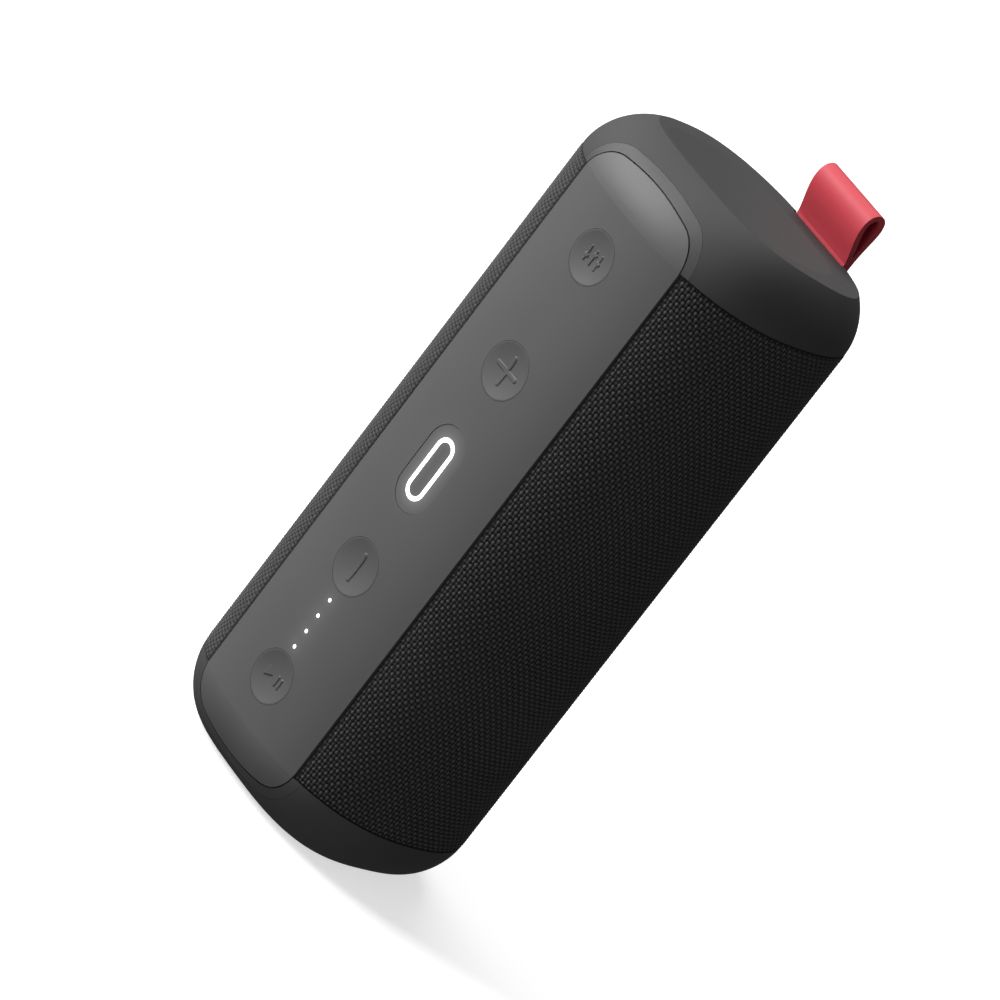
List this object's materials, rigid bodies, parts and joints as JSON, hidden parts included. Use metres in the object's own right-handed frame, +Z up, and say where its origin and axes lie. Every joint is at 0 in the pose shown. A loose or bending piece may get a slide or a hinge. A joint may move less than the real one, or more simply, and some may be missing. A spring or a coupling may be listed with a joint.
{
  "type": "portable shower speaker",
  "caption": "Upright fabric-wrapped waterproof speaker with rounded end caps, a front control strip with dished buttons and a lit ring, and a red strap loop.",
  "frame": {"origin": "middle of the base, where the column stands", "axes": "+Z up the column towards the strap, -Y out of the control panel, +X towards the drivers"},
  "size_m": [0.08, 0.0682, 0.1996],
  "materials": {
    "shell_plastic": "moulded black ABS",
    "cap_soft_touch": "soft-touch dark grey",
    "panel_plastic": "satin dark grey",
    "bezel_plastic": "satin dark grey",
    "button_plastic": "satin dark grey",
    "light_guide": "clear diffusing guide",
    "sleeve_fabric": "coarse woven mesh",
    "strap_silicone": "matt red silicone",
    "screw_steel": "plain",
    "gasket_rubber": "black foam rubber",
    "board_green": "solder-masked board",
    "chip_black": "moulded package",
    "shield_can": "tinned steel",
    "switch_metal": "tinned steel",
    "led_white": "diffuse lens",
    "basket_steel": "black",
    "magnet_steel": "zinc plated",
    "cone_paper": "black pulp",
    "surround_rubber": "matt",
    "weight_plate": "anodised",
    "battery_wrap": "shrink sleeve",
    "cradle_plastic": "moulded",
    "port_plastic": "moulded",
    "flap_rubber": "matt",
    "socket_steel": "plain",
    "socket_plastic": "moulded"
  },
  "bodies": {
    "housing": {"enclosure_shell": "shell_plastic", "fabric_sleeve": "sleeve_fabric", "lower_end_cap": "cap_soft_touch", "upper_end_cap": "cap_soft_touch", "lower_end_plate": "shell_plastic", "upper_end_plate": "shell_plastic", "lower_plate_gasket": "gasket_rubber", "upper_plate_gasket": "gasket_rubber", "lower_plate_screws": "screw_steel", "upper_plate_screws": "screw_steel", "control_panel": "panel_plastic", "panel_frame": "bezel_plastic", "battery_light_pipes": "light_guide", "button_board": "board_green", "button_board_screws": "screw_steel", "tact_switches": "switch_metal", "indicator_leds": "led_white", "driver_baffle": "shell_plastic", "upper_driver_basket": "basket_steel", "upper_driver_magnet": "magnet_steel", "lower_driver_basket": "basket_steel", "lower_driver_magnet": "magnet_steel", "driver_gaskets": "gasket_rubber", "driver_screws": "screw_steel", "radiator_baffle": "shell_plastic", "radiator_frame": "shell_plastic", "radiator_gasket": "gasket_rubber", "battery_cells": "battery_wrap", "battery_cradle": "cradle_plastic", "main_board": "board_green", "main_board_screws": "screw_steel", "radio_module": "shield_can", "board_components": "chip_black", "port_housing": "port_plastic", "port_flap_pin": "screw_steel", "usb_c_socket": "socket_steel", "aux_socket": "socket_plastic", "port_board": "board_green", "strap_pin": "screw_steel", "strap_anchor": "cradle_plastic"},
    "equaliser_button": {"equaliser_button": "button_plastic"},
    "volume_up_button": {"volume_up_button": "button_plastic"},
    "power_button": {"power_button": "button_plastic", "light_ring": "light_guide"},
    "volume_down_button": {"volume_down_button": "button_plastic"},
    "play_pause_button": {"play_pause_button": "button_plastic"},
    "upper_driver_cone": {"upper_driver_cone": "cone_paper", "upper_driver_surround": "surround_rubber"},
    "lower_driver_cone": {"lower_driver_cone": "cone_paper", "lower_driver_surround": "surround_rubber"},
    "passive_radiator": {"radiator_plate": "weight_plate", "radiator_surround": "surround_rubber"},
    "port_flap": {"port_flap": "flap_rubber"},
    "strap": {"strap": "strap_silicone"}
  },
  "joints": [
    {"name": "equaliser_press", "type": "slide", "parent": "housing", "child": "equaliser_button", "axis": [0, 1, 0], "range_m": [0, 0.0004], "stiffness_N_per_m": 2500},
    {"name": "volume_up_press", "type": "slide", "parent": "housing", "child": "volume_up_button", "axis": [0, 1, 0], "range_m": [0, 0.0004], "stiffness_N_per_m": 2500},
    {"name": "power_press", "type": "slide", "parent": "housing", "child": "power_button", "axis": [0, 1, 0], "range_m": [0, 0.0004], "stiffness_N_per_m": 2500},
    {"name": "volume_down_press", "type": "slide", "parent": "housing", "child": "volume_down_button", "axis": [0, 1, 0], "range_m": [0, 0.0004], "stiffness_N_per_m": 2500},
    {"name": "play_pause_press", "type": "slide", "parent": "housing", "child": "play_pause_button", "axis": [0, 1, 0], "range_m": [0, 0.0004], "stiffness_N_per_m": 2500},
    {"name": "upper_cone_travel", "type": "slide", "parent": "housing", "child": "upper_driver_cone", "axis": [1, 0, 0], "range_m": [-0.0015, 0.0015], "stiffness_N_per_m": 1500},
    {"name": "lower_cone_travel", "type": "slide", "parent": "housing", "child": "lower_driver_cone", "axis": [1, 0, 0], "range_m": [-0.0015, 0.0015], "stiffness_N_per_m": 1500},
    {"name": "radiator_travel", "type": "slide", "parent": "housing", "child": "passive_radiator", "axis": [-1, 0, 0], "range_m": [-0.0025, 0.0025], "stiffness_N_per_m": 1200},
    {"name": "port_flap_hinge", "type": "hinge", "parent": "housing", "child": "port_flap", "pos_m": [0, 0.03215, 0.0353], "axis": [-1, 0, 0], "range_deg": [0, 90]},
    {"name": "strap_flex", "type": "hinge", "parent": "housing", "child": "strap", "pos_m": [0.0013, 0.0295, 0.1794], "axis": [-1, 0, 0], "range_deg": [-8, 20], "stiffness_Nm_per_rad": 0.05}
  ]
}
